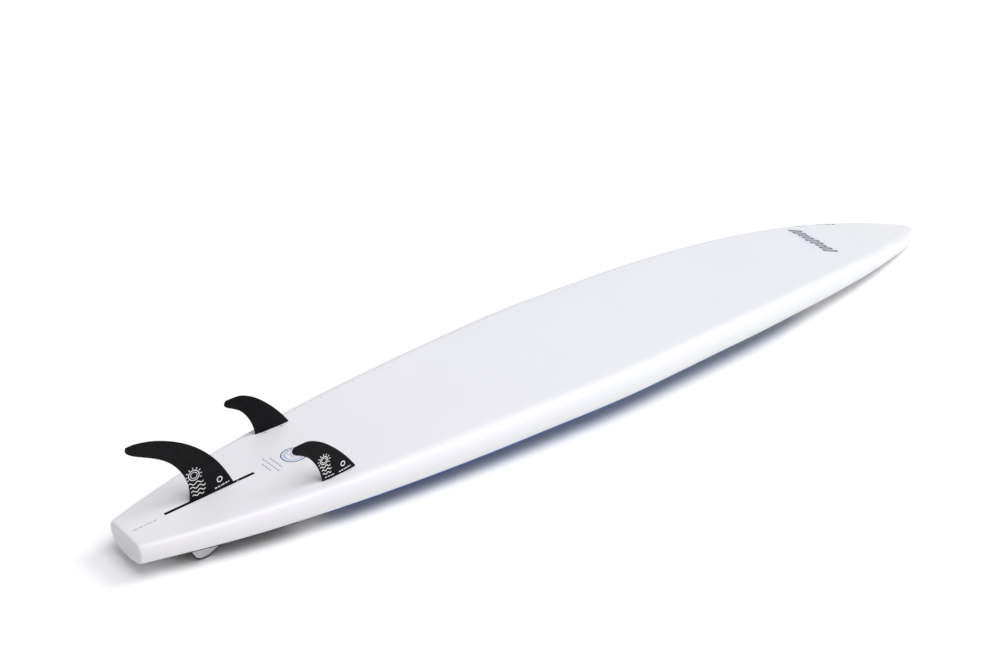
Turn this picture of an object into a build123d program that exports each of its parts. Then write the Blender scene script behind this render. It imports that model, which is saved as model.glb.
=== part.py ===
from build123d import *
import math
import os

os.makedirs("parts", exist_ok=True)

# ------------------------------------------------------------------ frame
# The board lies deck down, bottom and fins up, on z = 0.
# +X runs from the tail to the nose, +Z is up, the -Y rail is nearer the
# rider's left hand when the board is turned over. "s" is the distance from
# the tail end; x = s - MID.

# ------------------------------------------------------- driving dimensions
LENGTH = 3810.0            # 12 ft 6 in
TIP = 3807.0               # where the rounded nose is cut square
MID = TIP / 2
HALF_WIDTHS = [            # (share of length from the tail, half width)
    (0.0, 81.2), (0.03, 121.2), (0.09, 182.6), (0.18, 243.1), (0.30, 293.7),
    (0.43, 324.3), (0.56, 320.5), (0.68, 297.5), (0.79, 254.6), (0.88, 191.8),
    (0.94, 133.9), (0.975, 84.0), (1.0, 0.0)]
THICKNESSES = [
    (0.0, 70.4), (0.10, 92.3), (0.25, 109.8), (0.45, 114.2), (0.65, 110.6),
    (0.85, 86.7), (1.0, 41.8)]
APEX_HEIGHT = 205.6        # bottom above the nose datum, before the lean
NOSE_ROCKER, NOSE_POWER = 168.0, 2.67
TAIL_ROCKER, TAIL_POWER = 38.3, 2.13
ROCKER_LOW = 0.42          # share of length with no rocker
LEAN = 57.0 / 3641.0       # slope of the board standing on kick and nose
DROP = 6.26                # brings the nose contact down to the floor
RAIL_BOTTOM = 48.9         # depth of the bottom roll
RAIL_DECK = 56.8           # depth of the deck roll
RAIL_N = 2.24              # fullness of the bottom roll
RAIL_N_DECK = 2.1
APEX_SHARE = 0.45
DOME_SHARE = 0.08
SKIN = 1.2                 # glass and resin skin
PANEL = 3.0                # sandwich panel under the deck skin
STRINGER = 5.0
PAD = 5.0                  # EVA pad
GAP = 0.3

SLOT_S0, SLOT_LEN = 108.5, 262.0    # fin-box slot, 10.5 in box
SLOT_W = 9.8
BOX_LEN, BOX_W, BOX_D = 273.0, 26.0, 25.0
SIDE_S0, SIDE_S1 = 476.5, 586.0     # side-fin base, trailing and leading end
SIDE_Y0, SIDE_Y1 = 162.0, 159.5
PLUG_S = (503.0, 556.0)
PLUG_R, PLUG_D = 14.0, 16.0

HANDLE_S, HANDLE_L, HANDLE_W, HANDLE_D = 1850.0, 200.0, 112.0, 52.0
VENT_S = 2860.0
LEASH_S = 56.0


# ------------------------------------------------------------ shape functions
def pchip(xy, x):
    """Monotone cubic through the points, so the curve never overshoots."""
    n = len(xy)
    h = [xy[i + 1][0] - xy[i][0] for i in range(n - 1)]
    m = [(xy[i + 1][1] - xy[i][1]) / h[i] for i in range(n - 1)]
    d = [0.0] * n
    for i in range(1, n - 1):
        if m[i - 1] * m[i] > 0:
            w1, w2 = 2 * h[i] + h[i - 1], h[i] + 2 * h[i - 1]
            d[i] = (w1 + w2) / (w1 / m[i - 1] + w2 / m[i])

    def end(h0, h1, m0, m1):
        v = ((2 * h0 + h1) * m0 - h0 * m1) / (h0 + h1)
        if v * m0 <= 0:
            return 0.0
        if m0 * m1 <= 0 and abs(v) > 3 * abs(m0):
            return 3 * m0
        return v

    d[0] = end(h[0], h[1], m[0], m[1])
    d[-1] = end(h[-1], h[-2], m[-1], m[-2])
    x = min(max(x, xy[0][0]), xy[-1][0])
    i = 0
    while i < n - 2 and x > xy[i + 1][0]:
        i += 1
    t = (x - xy[i][0]) / h[i]
    a, b = xy[i][1], xy[i + 1][1]
    return (a * (1 + 2 * t) * (1 - t) ** 2 + b * t * t * (3 - 2 * t)
            + h[i] * (d[i] * t * (1 - t) ** 2 - d[i + 1] * t * t * (1 - t)))


SQUARES = [(s, w * w) for s, w in HALF_WIDTHS]

# The hull is ruled between these stations, and every size is linear between
# them, so that skins, core and pads follow one another exactly.
STATIONS = [0, 40, 85, 135, 190, 250, 320, 400, 490, 590, 700, 820, 940, 1070,
            1200, 1340, 1480, 1620, 1760, 1900, 2040, 2180, 2320, 2450, 2580,
            2700, 2820, 2930, 3040, 3140, 3240, 3330, 3410, 3485, 3555, 3620,
            3675, 3722, 3760, 3786, 3800, TIP]


def linear(fn):
    """The function made linear between the stations."""
    table = [(float(s), fn(float(s))) for s in STATIONS]

    def value(s):
        s = min(max(s, table[0][0]), table[-1][0])
        i = 0
        while i < len(table) - 2 and s > table[i + 1][0]:
            i += 1
        (s0, v0), (s1, v1) = table[i], table[i + 1]
        return v0 + (v1 - v0) * (s - s0) / (s1 - s0)
    return value


def smooth_half_width(s):
    return math.sqrt(max(pchip(SQUARES, s / LENGTH), 0.0))


def smooth_thickness(s):
    t = pchip(THICKNESSES, s / LENGTH)
    return t * (1 - 0.38 * min(max((s - 3660.0) / 150.0, 0.0), 1.0) ** 2)


def smooth_bottom_z(s):
    f = s / LENGTH
    nose = max((f - ROCKER_LOW) / (1 - ROCKER_LOW), 0.0)
    tail = max((ROCKER_LOW - f) / ROCKER_LOW, 0.0)
    rocker = NOSE_ROCKER * nose ** NOSE_POWER + TAIL_ROCKER * tail ** TAIL_POWER
    return APEX_HEIGHT - rocker - LEAN * (LENGTH - s) - DROP


half_width = linear(smooth_half_width)
thickness = linear(smooth_thickness)
bottom_z = linear(smooth_bottom_z)
roll_deck = linear(lambda s: min(RAIL_DECK, 0.55 * smooth_half_width(s)))
roll_bottom = linear(lambda s: min(RAIL_BOTTOM, 0.55 * smooth_half_width(s))
                     * (0.35 + 0.65 * min(s / (0.25 * LENGTH), 1.0)))


def slope(s):
    return math.atan((smooth_bottom_z(s + 5) - smooth_bottom_z(s - 5)) / 10.0)


def deck_z(s, y=0.0):
    t = thickness(s)
    w = half_width(s)
    rd = roll_deck(s)
    return bottom_z(s) - t + DOME_SHARE * t * min(abs(y) / max(w - rd, 1.0), 1.0) ** 2


def deck_slope(s):
    return math.atan((deck_z(s + 30) - deck_z(s - 30)) / 60.0)


def section_edges(s, off=0.0, x=None):
    """Section of the board set in by off: bottom line, rails, deck."""
    w = half_width(s) - off
    t = thickness(s)
    zb = bottom_z(s) - off
    zt = bottom_z(s) - t + off
    rb = roll_bottom(s) - off
    rd = roll_deck(s) - off
    dome = DOME_SHARE * t
    rail = zb - zt - dome
    ha = APEX_SHARE * rail
    x = (s if x is None else x) - MID
    n = 6
    low, high = [], []
    for i in range(n + 1):
        a = math.pi / 2 * i / n
        low.append((w - rb + rb * math.sin(a) ** (2 / RAIL_N),
                    zb - ha * (1 - max(math.cos(a), 0.0) ** (2 / RAIL_N))))
        high.append((w - rd + rd * max(math.cos(a), 0.0) ** (2 / RAIL_N_DECK),
                     zb - ha - (rail - ha) * math.sin(a) ** (2 / RAIL_N_DECK)))
    low[-1] = high[0] = (w, zb - ha)
    high[-1] = (w - rd, zt + dome)
    m = 2 * dome / max(w - rd, 1.0)
    up, down = Vector(0, 0, 1), Vector(0, 0, -1)
    out, back = Vector(0, 1, 0), Vector(0, -1, 0)

    def pts(side, line):
        return [Vector(x, side * y, z) for y, z in line]
    deck = [Vector(x, (w - rd) * k, zt + dome * k * k) for k in (1, 0.5, 0, -0.5, -1)]
    flat = Edge.make_line(Vector(x, -(w - rb), zb), Vector(x, w - rb, zb))
    right_low = Edge.make_spline(pts(1, low), tangents=[out, down])
    right_high = Edge.make_spline(pts(1, high), tangents=[down, Vector(0, -1, -m)])
    deck_edge = Edge.make_spline(deck, tangents=[Vector(0, -1, -m), Vector(0, -1, m)])
    left_high = Edge.make_spline(pts(-1, list(reversed(high))), tangents=[Vector(0, -1, m), up])
    left_low = Edge.make_spline(pts(-1, list(reversed(low))), tangents=[up, out])
    return flat, right_low, right_high, deck_edge, left_high, left_low


def hull(off=0.0):
    wires = []
    for i, s in enumerate(STATIONS):
        at = off if i == 0 else (s - off if i == len(STATIONS) - 1 else s)
        wires.append(Wire(list(section_edges(at, off, at))))
    return Solid.make_loft(wires, True)


def skin_stations():
    return [SKIN] + list(STATIONS[1:-1]) + [TIP - SKIN]


def skin(deck_side):
    """One of the two skins: a band round its half of the section, closed by
    a thin plate at the tail and at the nose."""
    wires = []
    for s in skin_stations():
        o = section_edges(s, 0.0)
        n = section_edges(s, SKIN)
        if deck_side:
            outer_run, inner_run = [o[2], o[3], o[4]], [n[2], n[3], n[4]]
        else:
            outer_run, inner_run = [o[5], o[0], o[1]], [n[5], n[0], n[1]]
        a0, a1 = outer_run[0] @ 0, outer_run[-1] @ 1
        b0, b1 = inner_run[0] @ 0, inner_run[-1] @ 1
        wires.append(Wire(outer_run + [Edge.make_line(a1, b1)] + inner_run
                          + [Edge.make_line(b0, a0)]))
    band = Solid.make_loft(wires, True)
    for s0, s1 in ((0.0, SKIN), (TIP - SKIN, TIP)):
        ends = []
        for s in (s0, s1):
            o = section_edges(s, 0.0)
            run = [o[2], o[3], o[4]] if deck_side else [o[5], o[0], o[1]]
            ends.append(Wire(run + [Edge.make_line(run[-1] @ 1, run[0] @ 0)]))
        band = band + Solid.make_loft(ends, True)
    return band


def deck_strip(s0, s1, half, z_low, z_high):
    """Strip along the deck between two heights above its outer face."""
    cuts = [s0] + [q for q in STATIONS if s0 + 4 < q < s1 - 4] + [s1]
    wires = []
    for q in cuts:
        x = q - MID
        lo = [Vector(x, half * k, deck_z(q, half * k) + z_low) for k in (1, 0.5, 0, -0.5, -1)]
        hi = [Vector(x, half * k, deck_z(q, half * k) + z_high) for k in (-1, -0.5, 0, 0.5, 1)]
        wires.append(Wire([Edge.make_spline(lo), Edge.make_line(lo[-1], hi[0]),
                           Edge.make_spline(hi), Edge.make_line(hi[-1], lo[0])]))
    return Solid.make_loft(wires, True)


def block(s0, s1, y0, y1, z0, z1):
    return Solid.make_box(s1 - s0, y1 - y0, z1 - z0,
                          Plane((s0 - MID, y0, z0)))


def one(shape):
    """The single solid of a result, or a compound when there are several."""
    solids = shape.solids()
    if len(solids) == 1:
        return solids[0]
    return Compound(children=list(solids))


def local_plane(s, y, z, pitch, yaw=0.0, down=False):
    """Plane whose x runs along the board and whose z leaves the surface."""
    c, n = math.cos(pitch), math.sin(pitch)
    fwd = Vector(c * math.cos(yaw), c * math.sin(yaw), n)
    if down:
        up = Vector(n, 0, -c)
        return Plane(origin=(s - MID, y, z), x_dir=fwd, z_dir=up)
    up = Vector(-n, 0, c)
    side = up.cross(fwd)
    up = fwd.cross(side)
    return Plane(origin=(s - MID, y, z), x_dir=fwd, z_dir=up)


def lbox(pl, u0, u1, v0, v1, w0, w1):
    b = Solid.make_box(u1 - u0, v1 - v0, w1 - w0, Plane((u0, v0, w0)))
    return pl.location * b


def lcyl(pl, u, v, w0, w1, r, direction=(0, 0, 1)):
    c = Solid.make_cylinder(r, w1 - w0, Plane(origin=(u, v, w0), z_dir=direction))
    return pl.location * c


def write(shape, name):
    shape = one(shape)
    shape.label = name
    export_step(shape, "parts/" + name + ".step")
    print(name, len(shape.solids()), round(shape.volume, 1), flush=True)
    return shape


# ------------------------------------------------------------------ hull
outer = hull(0.0)
inner = hull(SKIN)
bottom_skin = skin(False)
deck_skin = skin(True)
print("hull", round(outer.volume / 1e6, 2), "litres, valid", outer.is_valid,
      inner.is_valid, bottom_skin.is_valid, deck_skin.is_valid,
      "box", outer.bounding_box().min, outer.bounding_box().max, flush=True)
print("skins", bottom_skin.volume, deck_skin.volume,
      "gap", outer.volume - inner.volume - bottom_skin.volume - deck_skin.volume, flush=True)

# --------------------------------------------------------------- fin box
s_mid = SLOT_S0 + SLOT_LEN / 2
fb = local_plane(s_mid, 0, bottom_z(s_mid), slope(s_mid))
half_slot = SLOT_LEN / 2
CH_TOP, CH_BOT, CH_W = -4.9, -9.0, 8.6     # side channels of the slot
box_out = lbox(fb, -BOX_LEN / 2, BOX_LEN / 2, -BOX_W / 2, BOX_W / 2, -BOX_D, 0.25)
fin_box = box_out.fillet(6.0, [e for e in box_out.edges() if abs(abs((e @ 1 - e @ 0).normalized().dot(fb.z_dir)) - 1) < 1e-3])
box_cut = fin_box
fin_box = fin_box - lbox(fb, -half_slot, half_slot, -SLOT_W / 2, SLOT_W / 2, -21, 1)
fin_box = fin_box - lbox(fb, -half_slot, half_slot, -CH_W, CH_W, CH_BOT, CH_TOP)
fin_box = fin_box - lbox(fb, 6, 24, -CH_W, CH_W, CH_BOT, 1)
write(fin_box, "fin_box")

hd = block(86, 400, -45, 45, -100, 400)
hd_floor = lbox(fb, -200, 200, -60, 60, -BOX_D - 14, 60)
hd_block = inner & (hd & hd_floor)
fin_box_block = hd_block - box_cut

# -------------------------------------------------------------- side plugs
plugs, side_planes = {}, {}
for tag, sg in (("left", -1), ("right", 1)):
    sm = (SIDE_S0 + SIDE_S1) / 2
    ym = sg * (SIDE_Y0 + SIDE_Y1) / 2
    yaw = sg * math.atan2(SIDE_Y1 - SIDE_Y0, SIDE_S1 - SIDE_S0)
    side_planes[tag] = (local_plane(sm, ym, bottom_z(sm), slope(sm), yaw), sm)

grub_dir = (7.0, -8.0)      # across and down, towards the tab
GL = math.hypot(*grub_dir)
plug_cut = {}
for tag, sg in (("left", -1), ("right", 1)):
    pl, sm = side_planes[tag]
    inb = -sg                # inboard side of the fin line
    solids, cuts = [], []
    for i, ps in enumerate(PLUG_S):
        u = ps - sm
        body = lcyl(pl, u, 0, -PLUG_D, 0.15, PLUG_R)
        cuts.append(body)
        body = body - lbox(pl, u - 10.4, u + 10.4, -2.8, 2.8, -13.4, 1)
        dy, dz = -inb * grub_dir[0] / GL, grub_dir[1] / GL
        # the screw's axis starts inboard at the face and runs to the tab
        y_top = inb * 10.0
        hole = Solid.make_cylinder(
            2.45, 16, Plane(origin=(u, y_top - dy * 4, -dz * 4), z_dir=(0, dy, dz)))
        stop = lbox(pl, u - 12, u + 12, -30 if sg > 0 else -1.5, 1.5 if sg > 0 else 30, -16, 10)
        keep = lbox(pl, u - 12, u + 12, min(inb * 0.5, inb * 30), max(inb * 0.5, inb * 30), -16, 10)
        body = body - (pl.location * hole & keep)
        solids.append(one(body))
        screw = Solid.make_cylinder(
            2.38, 7.2, Plane(origin=(u, y_top - dy * 0.3 + dy * 0.9, -dz * 0.3 + dz * 0.9), z_dir=(0, dy, dz)))
        socket = Solid.make_cylinder(
            1.25, 2.6, Plane(origin=(u, y_top - dy * 0.3 + dy * 0.4, -dz * 0.3 + dz * 0.4), z_dir=(0, dy, dz)))
        write(pl.location * (screw - socket), tag + ("_rear", "_front")[i] + "_grub_screw")
        print("grub axis", tag, i,
              pl.from_local_coords(Vector(u, y_top, 0)), pl.location * Vertex(u, y_top + dy, dz))
    plugs[tag] = Compound(children=solids)
    plug_cut[tag] = cuts
    write(plugs[tag], "side_fin_plugs_" + tag)

# ------------------------------------------------------ deck fittings (down)
# leash cup
lp = local_plane(LEASH_S, 0, deck_z(LEASH_S), deck_slope(LEASH_S), down=True)
LEASH_R, LEASH_D = 17.0, 22.0
leash_out = lcyl(lp, 0, 0, -LEASH_D, 0.4, LEASH_R)
leash_cup = leash_out - lcyl(lp, 0, 0, -LEASH_D + 3, 1, 12.5)
pin = Solid.make_cylinder(2.5, 31.0, Plane(origin=(0, -15.5, -6.0), z_dir=(0, 1, 0)))
pin = lp.location * pin
leash_cup = leash_cup - pin
write(leash_cup, "leash_cup")
write(pin, "leash_pin")

# vent
vp = local_plane(VENT_S, 0, deck_z(VENT_S), deck_slope(VENT_S), down=True)
vent_out = lcyl(vp, 0, 0, -20, -3, 12.0) + lcyl(vp, 0, 0, -3, 0.4, 18.0)
vent_body = vent_out - lcyl(vp, 0, 0, -16.5, -3.6, 5.0) - lcyl(vp, 0, 0, -3.6, 1, 11.5)
vent_body = vent_body - lcyl(vp, 0, 0, -18.3, -16.5, 8.0) - lcyl(vp, 0, 0, -21, -18.3, 1.2)
write(vent_body, "vent_body")
write(lcyl(vp, 0, 0, -18.2, -17.4, 7.9), "vent_membrane")
vent_screw = lcyl(vp, 0, 0, -12, -1.5, 4.92) + lcyl(vp, 0, 0, -1.7, 1.6, 9.5)
vent_screw = vent_screw - lbox(vp, -7.5, 7.5, -0.9, 0.9, 0.2, 3)
vent_screw = vent_screw - lcyl(vp, 0, 0, -13, -3.0, 1.0)
write(vent_screw, "vent_screw")
ring = Solid.make_torus(6.2, 0.85, Plane(origin=(0, 0, -2.65), z_dir=(0, 0, 1)))
ring = vp.location * ring
write(ring, "vent_o_ring")

# carry handle
hp = local_plane(HANDLE_S, 0, deck_z(HANDLE_S), deck_slope(HANDLE_S), down=True)


def rbox(pl, l, w, z0, z1, r):
    b = Solid.make_box(l, w, z1 - z0, Plane((-l / 2, -w / 2, z0)))
    b = b.fillet(r, b.edges().filter_by(Axis.Z))
    return pl.location * b


handle_out = rbox(hp, HANDLE_L, HANDLE_W, -HANDLE_D, 0.4, 26)
handle_flange = rbox(hp, HANDLE_L + 16, HANDLE_W + 16, -2.2, 0.4, 34)
cup_hollow = rbox(hp, HANDLE_L - 7, HANDLE_W - 7, -HANDLE_D + 3.5, 2, 22.5)
handle_all = handle_out + handle_flange
handle_cup = handle_all - cup_hollow
grip = Solid.make_cylinder(11.0, HANDLE_L - 0.6, Plane(origin=(-HANDLE_L / 2 + 0.3, 0, -11.2), z_dir=(1, 0, 0)))
grip = hp.location * grip
handle_cup = handle_cup - grip
write(grip, "handle_grip")
write(handle_cup, "handle_cup")

# ---------------------------------------------------------------- the core
panel = deck_strip(900, 2500, 200.0, SKIN, SKIN + PANEL)
panel_cut = deck_strip(900, 2500, 200.0, -8.0, SKIN + PANEL)
panel = panel - handle_all
write(panel, "deck_panel")

fittings = [handle_all, vent_out, leash_out, hd_block] + plug_cut["left"] + plug_cut["right"]
string_box = block(402, 3700, -STRINGER / 2, STRINGER / 2, -100, 400)
stringer = inner & string_box
core = inner - string_box
for f in fittings:
    core = core - f
    stringer = stringer - f
core = core - panel_cut
stringer = stringer - panel_cut
write(stringer, "stringer")
left_half = block(-100, 4000, -500, 0, -300, 500)
right_half = block(-100, 4000, 0, 500, -300, 500)
write(core & left_half, "foam_core_left")
write(core & right_half, "foam_core_right")
for f in [leash_out, vent_out]:
    fin_box_block = fin_box_block - f
write(fin_box_block, "fin_box_block")

# ---------------------------------------------------------------- the skins
for f in plug_cut["left"] + plug_cut["right"] + [box_cut]:
    bottom_skin = bottom_skin - f
for f in [leash_out, vent_out, handle_all]:
    deck_skin = deck_skin - f
write(bottom_skin, "bottom_skin")
write(deck_skin, "deck_skin")

# ---------------------------------------------------------------- deck pads
PAD_INSET = 38.0


def pad(s0, s1, inset, z_in, z_out, nose_round):
    """Pad on the deck, ruled like the hull, with a rounded forward end."""
    cuts = [s0] + [q for q in STATIONS if s0 + 8 < q < s1 - nose_round] + [s1]
    if nose_round:
        for k in range(12):
            q = math.sin(math.pi / 2 * k / 12)
            cuts.append(s1 - nose_round + nose_round * q)
        cuts += [q for q in STATIONS if s1 - nose_round < q < s1]
    cuts = sorted(set(cuts))
    clean = [cuts[0]]
    for q in cuts[1:]:
        if q - clean[-1] > 4.0:
            clean.append(q)
    wires = []
    for q in clean:
        y = half_width(q) - inset
        if nose_round and q > s1 - nose_round:
            k = min((q - (s1 - nose_round)) / nose_round, 0.99)
            y *= (1 - k ** 2.6) ** (1 / 2.6)
        x = q - MID
        up = [Vector(x, y * k, deck_z(q, y * k) - z_in) for k in (1, 0.5, 0, -0.5, -1)]
        dn = [Vector(x, y * k, deck_z(q, y * k) - z_out) for k in (-1, -0.5, 0, 0.5, 1)]
        wires.append(Wire([Edge.make_spline(up), Edge.make_line(up[-1], dn[0]),
                           Edge.make_spline(dn), Edge.make_line(dn[-1], up[0])]))
    return Solid.make_loft(wires, True)


front_pad = pad(484, 2750, PAD_INSET, GAP, GAP + PAD, 420)
front_pad = front_pad - rbox(hp, HANDLE_L + 22, HANDLE_W + 22, -60, 60, 37)
write(front_pad, "front_deck_pad")

# kick wedge and tail pad
KICK = [(124.0, None), (138.0, 7.5), (150.0, 0.0), (172.0, 0.0), (240.0, None)]
KICK_HALF = 92.0
prof = []
for s, z in KICK:
    if z is None:
        z = deck_z(s, 0) + 6.0
    prof.append(Vector(s - MID, -KICK_HALF, z))
kick_wire = Wire.make_polygon(prof, close=True)
kick = Solid.extrude(Face(kick_wire), Vector(0, 2 * KICK_HALF, 0))
kick = kick - outer.moved(Location((0, 0, -GAP - PAD)))
kick = kick - pad(92, 395, PAD_INSET, GAP, GAP + PAD + 0.03, 0)
kick = one(kick)
write(kick, "kick_wedge")
tail_pad = pad(92, 395, PAD_INSET, GAP, GAP + PAD, 0)
write(tail_pad, "tail_pad")


# --------------------------------------------------------------------- fins
def curve_at(pts, h):
    """x on an outline given as (x, height) points with rising height."""
    return pchip([(q, p) for p, q in pts], h)


def foil_wire(pl, x0, x1, h, thick):
    """Foil section at height h, trailing edge at x0, leading edge at x1."""
    c = x1 - x0
    te = 0.35
    up, dn = [], []
    prof = [(1.0, 0.0), (0.97, 0.40), (0.88, 0.74), (0.70, 0.99), (0.50, 0.96),
            (0.28, 0.68), (0.12, 0.38)]
    for k, th in prof[1:]:
        up.append(Vector(x0 + c * k, max(th * thick / 2, te * 0.9), h))
    pts = [Vector(x0, te, h)] + list(reversed(up)) + [Vector(x1, 0, h)]
    pts += [Vector(p.X, -p.Y, h) for p in up] + [Vector(x0, -te, h)]
    w = Wire([Edge.make_spline(pts), Edge.make_line(pts[-1], pts[0])])
    return pl.location * w


def blade(pl, le, te, heights, thick_of):
    wires = [foil_wire(pl, curve_at(te, h), curve_at(le, h), h, thick_of(h)) for h in heights]
    return Solid.make_loft(wires, False)


# centre fin: (x from the slot centre, height)
C_LE = [(69.5, 0.0), (44.5, 63), (19.5, 105), (-6.5, 137), (-42.5, 170), (-99.5, 205), (-148, 223), (-172, 227.5)]
C_TE = [(-59.5, 0.0), (-56, 30), (-55, 51), (-61.5, 79), (-82.5, 122), (-116.5, 157), (-154, 181), (-184, 199), (-198, 216), (-196, 227.5)]
C_H = [0.3, 20, 45, 75, 105, 135, 162, 184, 202, 215, 223, 227.5]
fin = blade(fb, C_LE, C_TE, C_H, lambda h: 8.8 * (1 - 0.80 * (h / 228.0) ** 1.1) + 0.4)
TAB0, TAB1, LUG1 = -60.0, 65.0, 91.0
SCREW_U, PIN_U = 82.0, -50.0
fin = fin + lbox(fb, TAB0, TAB1, -4.6, 4.6, -19.5, 0.4)
fin = fin + lbox(fb, TAB1 - 1, LUG1, -4.6, 4.6, -4.6, -1.0)
fin = fin - lcyl(fb, SCREW_U, 0, -6, 2, 2.05) - lcyl(fb, SCREW_U, 0, -2.95, 2, 4.0)
pin_hole = Solid.make_cylinder(1.95, 20, Plane(origin=(PIN_U, -10, -7.0), z_dir=(0, 1, 0)))
fin = fin - fb.location * pin_hole
write(fin, "centre_fin")
rp = Solid.make_cylinder(1.9, 16.4, Plane(origin=(PIN_U, -8.2, -7.0), z_dir=(0, 1, 0)))
write(fb.location * rp, "fin_roller_pin")
nut = lbox(fb, SCREW_U - 7, SCREW_U + 7, -8.2, 8.2, -8.5, -5.3) - lcyl(fb, SCREW_U, 0, -10, -3, 2.05)
write(nut, "fin_plate_nut")
screw = lcyl(fb, SCREW_U, 0, -15.0, -2.8, 1.97) + lcyl(fb, SCREW_U, 0, -2.9, -1.1, 3.8)
screw = screw - lbox(fb, SCREW_U - 3, SCREW_U + 3, -0.5, 0.5, -2.0, 0)
write(screw, "fin_screw")

# side fins: (x from the base centre, height)
S_LE = [(54.75, 0.0), (25, 46), (-8, 85), (-41, 115), (-71, 133), (-100, 139)]
S_TE = [(-54.75, 0.0), (-59, 30), (-69, 58), (-86, 86), (-107, 104), (-131, 119), (-136, 129), (-128, 139)]
S_H = [0.6, 18, 40, 62, 84, 103, 119, 131, 139]
for tag in ("left", "right"):
    pl, sm = side_planes[tag]
    f = blade(pl, S_LE, S_TE, S_H, lambda h: 6.4 * (1 - 0.78 * (h / 140.0) ** 1.1) + 0.3)
    for ps in PLUG_S:
        u = ps - sm
        f = f + lbox(pl, u - 10.0, u + 10.0, -2.5, 2.5, -13.0, 1.2)
    write(f, "side_fin_" + tag)

print("planes: fin", fb.origin, fb.x_dir, fb.z_dir)
for tag in ("left", "right"):
    print("side", tag, side_planes[tag][0].origin, side_planes[tag][0].x_dir, side_planes[tag][0].z_dir)
print("leash", lp.origin, lp.z_dir, "vent", vp.origin, vp.z_dir, "handle", hp.origin, hp.x_dir, hp.z_dir)
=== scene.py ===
import bpy
import bmesh
import math
import numpy as np
from mathutils import Matrix, Vector
from mathutils.bvhtree import BVHTree


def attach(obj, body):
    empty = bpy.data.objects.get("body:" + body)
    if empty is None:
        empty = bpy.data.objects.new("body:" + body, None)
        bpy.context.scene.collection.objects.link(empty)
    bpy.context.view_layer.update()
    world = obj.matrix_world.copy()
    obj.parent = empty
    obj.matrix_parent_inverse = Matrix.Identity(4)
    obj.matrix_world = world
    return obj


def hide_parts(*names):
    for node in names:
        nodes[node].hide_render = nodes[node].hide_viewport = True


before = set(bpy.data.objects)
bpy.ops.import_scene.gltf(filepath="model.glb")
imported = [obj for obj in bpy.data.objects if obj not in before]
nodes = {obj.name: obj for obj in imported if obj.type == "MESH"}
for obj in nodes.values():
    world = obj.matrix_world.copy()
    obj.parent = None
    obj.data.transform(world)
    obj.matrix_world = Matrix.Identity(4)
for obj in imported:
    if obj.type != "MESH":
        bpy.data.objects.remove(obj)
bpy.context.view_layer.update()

# ------------------------------------------------------------------ the hull
# Every size below is in millimetres; s runs from the tail end to the nose.
LENGTH, TIP = 3810.0, 3807.0
MID = TIP / 2
HALF_WIDTHS = [(0.0, 81.2), (0.03, 121.2), (0.09, 182.6), (0.18, 243.1), (0.30, 293.7),
               (0.43, 324.3), (0.56, 320.5), (0.68, 297.5), (0.79, 254.6), (0.88, 191.8),
               (0.94, 133.9), (0.975, 84.0), (1.0, 0.0)]
THICKNESSES = [(0.0, 70.4), (0.10, 92.3), (0.25, 109.8), (0.45, 114.2), (0.65, 110.6),
               (0.85, 86.7), (1.0, 41.8)]
SKIN, PAD, DOME = 1.2, 5.0, 0.08


def pchip(xy, x):
    n = len(xy)
    h = [xy[i + 1][0] - xy[i][0] for i in range(n - 1)]
    m = [(xy[i + 1][1] - xy[i][1]) / h[i] for i in range(n - 1)]
    d = [0.0] * n
    for i in range(1, n - 1):
        if m[i - 1] * m[i] > 0:
            w1, w2 = 2 * h[i] + h[i - 1], h[i] + 2 * h[i - 1]
            d[i] = (w1 + w2) / (w1 / m[i - 1] + w2 / m[i])

    def end(h0, h1, m0, m1):
        v = ((2 * h0 + h1) * m0 - h0 * m1) / (h0 + h1)
        if v * m0 <= 0:
            return 0.0
        if m0 * m1 <= 0 and abs(v) > 3 * abs(m0):
            return 3 * m0
        return v

    d[0] = end(h[0], h[1], m[0], m[1])
    d[-1] = end(h[-1], h[-2], m[-1], m[-2])
    x = min(max(x, xy[0][0]), xy[-1][0])
    i = 0
    while i < n - 2 and x > xy[i + 1][0]:
        i += 1
    t = (x - xy[i][0]) / h[i]
    a, b = xy[i][1], xy[i + 1][1]
    return (a * (1 + 2 * t) * (1 - t) ** 2 + b * t * t * (3 - 2 * t)
            + h[i] * (d[i] * t * (1 - t) ** 2 - d[i + 1] * t * t * (1 - t)))


SS = np.arange(0.0, LENGTH + 0.5, 1.0)
SQUARES = [(s, w * w) for s, w in HALF_WIDTHS]
W_T = np.sqrt(np.maximum([pchip(SQUARES, s / LENGTH) for s in SS], 0.0))
T_T = np.array([pchip(THICKNESSES, s / LENGTH) * (1 - 0.38 * min(max((s - 3660.0) / 150.0, 0.0), 1.0) ** 2)
                for s in SS])
F_T = SS / LENGTH
Z_T = (205.6 - 168.0 * np.maximum((F_T - 0.42) / 0.58, 0) ** 2.67
       - 38.3 * np.maximum((0.42 - F_T) / 0.42, 0) ** 2.13 - (57.0 / 3641.0) * (LENGTH - SS) - 6.26)


def smooth(a, n):
    """Moving average that keeps the ends."""
    k = np.ones(2 * n + 1) / (2 * n + 1)
    return np.convolve(np.concatenate([np.full(n, a[0]), a, np.full(n, a[-1])]), k, "valid")


RD_T = smooth(np.minimum(56.8, 0.55 * W_T), 20)
RB_T = smooth(np.minimum(48.9, 0.55 * W_T) * (0.35 + 0.65 * np.minimum(SS / (0.25 * LENGTH), 1.0)), 30)
RD_T, RB_T = np.minimum(RD_T, 0.62 * W_T + 0.5), np.minimum(RB_T, 0.62 * W_T + 0.5)


def at(table, s):
    return float(np.interp(s, SS, table))


def half_width(s):
    return at(W_T, s)


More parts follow.
